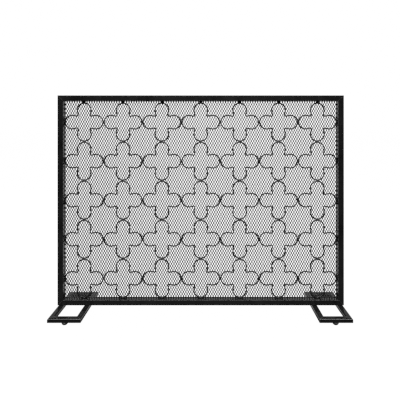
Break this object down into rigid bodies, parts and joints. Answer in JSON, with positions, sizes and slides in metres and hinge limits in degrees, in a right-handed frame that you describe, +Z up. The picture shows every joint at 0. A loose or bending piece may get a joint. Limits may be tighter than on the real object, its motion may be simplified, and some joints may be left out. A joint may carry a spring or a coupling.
{
  "type": "fireplace screen",
  "caption": "Flat free-standing fireplace screen: a black mitred tube frame with diamond mesh and a grid of quatrefoil rod rings, on two open rectangular feet with levellers.",
  "frame": {"origin": "on the floor under the middle of the screen: the bottom centre of its bounding box", "axes": "+X to the right along the screen, +Y to the back across its depth, +Z up; the front faces -Y"},
  "size_m": [1.118, 0.215, 0.845],
  "materials": {
    "frame_paint": "satin",
    "foot_paint": "satin",
    "mesh_paint": "satin",
    "ring_paint": "satin",
    "leveller_base": "gloss",
    "fixing_steel": "satin"
  },
  "bodies": {
    "screen": {"frame_bottom_rail": "frame_paint", "frame_top_rail": "frame_paint", "frame_left_stile": "frame_paint", "frame_right_stile": "frame_paint", "mesh_panel": "mesh_paint", "strip_bottom": "frame_paint", "strip_top": "frame_paint", "strip_left": "frame_paint", "strip_right": "frame_paint", "foot_left_front_bar": "foot_paint", "foot_left_rear_bar": "foot_paint", "foot_left_outer_bar": "foot_paint", "foot_left_inner_bar": "foot_paint", "foot_right_front_bar": "foot_paint", "foot_right_rear_bar": "foot_paint", "foot_right_outer_bar": "foot_paint", "foot_right_inner_bar": "foot_paint", "foot_bolts": "fixing_steel", "rail_inserts": "fixing_steel", "ring_row1_column1": "ring_paint", "ring_row1_column2": "ring_paint", "ring_row1_column3": "ring_paint", "ring_row1_column4": "ring_paint", "ring_row1_column5": "ring_paint", "ring_row1_column6": "ring_paint", "ring_row1_column7": "ring_paint", "ring_row2_column1": "ring_paint", "ring_row2_column2": "ring_paint", "ring_row2_column3": "ring_paint", "ring_row2_column4": "ring_paint", "ring_row2_column5": "ring_paint", "ring_row2_column6": "ring_paint", "ring_row2_column7": "ring_paint", "ring_row3_column1": "ring_paint", "ring_row3_column2": "ring_paint", "ring_row3_column3": "ring_paint", "ring_row3_column4": "ring_paint", "ring_row3_column5": "ring_paint", "ring_row3_column6": "ring_paint", "ring_row3_column7": "ring_paint", "ring_row4_column1": "ring_paint", "ring_row4_column2": "ring_paint", "ring_row4_column3": "ring_paint", "ring_row4_column4": "ring_paint", "ring_row4_column5": "ring_paint", "ring_row4_column6": "ring_paint", "ring_row4_column7": "ring_paint", "ring_row5_column1": "ring_paint", "ring_row5_column2": "ring_paint", "ring_row5_column3": "ring_paint", "ring_row5_column4": "ring_paint", "ring_row5_column5": "ring_paint", "ring_row5_column6": "ring_paint", "ring_row5_column7": "ring_paint"},
    "leveller_left_front": {"leveller_left_front": "leveller_base"},
    "leveller_left_rear": {"leveller_left_rear": "leveller_base"},
    "leveller_right_front": {"leveller_right_front": "leveller_base"},
    "leveller_right_rear": {"leveller_right_rear": "leveller_base"}
  },
  "joints": [
    {"name": "leveller_left_front_travel", "type": "slide", "parent": "screen", "child": "leveller_left_front", "axis": [0, 0, -1], "range_m": [0, 0.006]},
    {"name": "leveller_left_rear_travel", "type": "slide", "parent": "screen", "child": "leveller_left_rear", "axis": [0, 0, -1], "range_m": [0, 0.006]},
    {"name": "leveller_right_front_travel", "type": "slide", "parent": "screen", "child": "leveller_right_front", "axis": [0, 0, -1], "range_m": [0, 0.006]},
    {"name": "leveller_right_rear_travel", "type": "slide", "parent": "screen", "child": "leveller_right_rear", "axis": [0, 0, -1], "range_m": [0, 0.006]}
  ]
}
